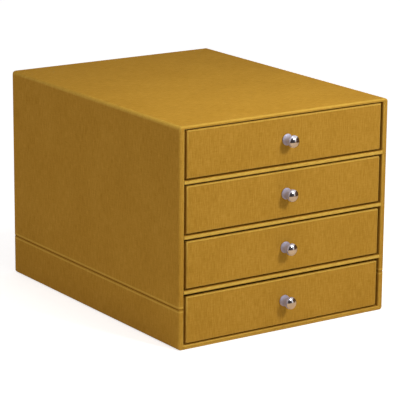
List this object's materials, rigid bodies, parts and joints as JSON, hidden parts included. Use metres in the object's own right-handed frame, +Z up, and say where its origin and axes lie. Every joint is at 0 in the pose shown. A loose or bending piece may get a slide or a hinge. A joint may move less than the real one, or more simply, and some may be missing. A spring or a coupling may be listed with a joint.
{
  "type": "desktop drawer unit",
  "caption": "Desktop drawer unit of linen-covered board on a shallow base tray, with sliding drawers and round metal knobs, for papers, crafts and small parts.",
  "frame": {"origin": "centre of the underside of the case", "axes": "+Z up, the drawers open towards -Y, +X to the right seen from the front"},
  "size_m": [0.258, 0.3465, 0.228],
  "materials": {
    "linen_paper": "matte linen-textured covering paper, ochre yellow",
    "greyboard": "raw grey board",
    "lining_paper": "smooth matte lining paper",
    "knob_metal": "polished metal head on a satin waist and foot",
    "screw_steel": "zinc-plated steel"
  },
  "bodies": {
    "case": {"base_board": "greyboard", "base_sheet": "lining_paper", "lower_left_board": "greyboard", "lower_right_board": "greyboard", "lower_back_board": "greyboard", "lower_cover": "linen_paper", "top_board": "greyboard", "upper_left_board": "greyboard", "upper_right_board": "greyboard", "upper_back_board": "greyboard", "upper_cover": "linen_paper", "left_guides": "greyboard", "right_guides": "greyboard", "shelf_1_board": "greyboard", "shelf_1_cover": "linen_paper", "shelf_2_board": "greyboard", "shelf_2_cover": "linen_paper", "shelf_3_board": "greyboard", "shelf_3_cover": "linen_paper"},
    "drawer_1": {"drawer_1_front_board": "greyboard", "drawer_1_bottom_board": "greyboard", "drawer_1_left_board": "greyboard", "drawer_1_right_board": "greyboard", "drawer_1_back_board": "greyboard", "drawer_1_cover": "linen_paper", "drawer_1_lining": "lining_paper", "drawer_1_knob": "knob_metal", "drawer_1_screw": "screw_steel", "drawer_1_washer": "screw_steel"},
    "drawer_2": {"drawer_2_front_board": "greyboard", "drawer_2_bottom_board": "greyboard", "drawer_2_left_board": "greyboard", "drawer_2_right_board": "greyboard", "drawer_2_back_board": "greyboard", "drawer_2_cover": "linen_paper", "drawer_2_lining": "lining_paper", "drawer_2_knob": "knob_metal", "drawer_2_screw": "screw_steel", "drawer_2_washer": "screw_steel"},
    "drawer_3": {"drawer_3_front_board": "greyboard", "drawer_3_bottom_board": "greyboard", "drawer_3_left_board": "greyboard", "drawer_3_right_board": "greyboard", "drawer_3_back_board": "greyboard", "drawer_3_cover": "linen_paper", "drawer_3_lining": "lining_paper", "drawer_3_knob": "knob_metal", "drawer_3_screw": "screw_steel", "drawer_3_washer": "screw_steel"},
    "drawer_4": {"drawer_4_front_board": "greyboard", "drawer_4_bottom_board": "greyboard", "drawer_4_left_board": "greyboard", "drawer_4_right_board": "greyboard", "drawer_4_back_board": "greyboard", "drawer_4_cover": "linen_paper", "drawer_4_lining": "lining_paper", "drawer_4_knob": "knob_metal", "drawer_4_screw": "screw_steel", "drawer_4_washer": "screw_steel"}
  },
  "joints": [
    {"name": "drawer_1_slide", "type": "slide", "parent": "case", "child": "drawer_1", "axis": [0, -1, 0], "range_m": [0, 0.28]},
    {"name": "drawer_2_slide", "type": "slide", "parent": "case", "child": "drawer_2", "axis": [0, -1, 0], "range_m": [0, 0.28]},
    {"name": "drawer_3_slide", "type": "slide", "parent": "case", "child": "drawer_3", "axis": [0, -1, 0], "range_m": [0, 0.28]},
    {"name": "drawer_4_slide", "type": "slide", "parent": "case", "child": "drawer_4", "axis": [0, -1, 0], "range_m": [0, 0.28]}
  ]
}
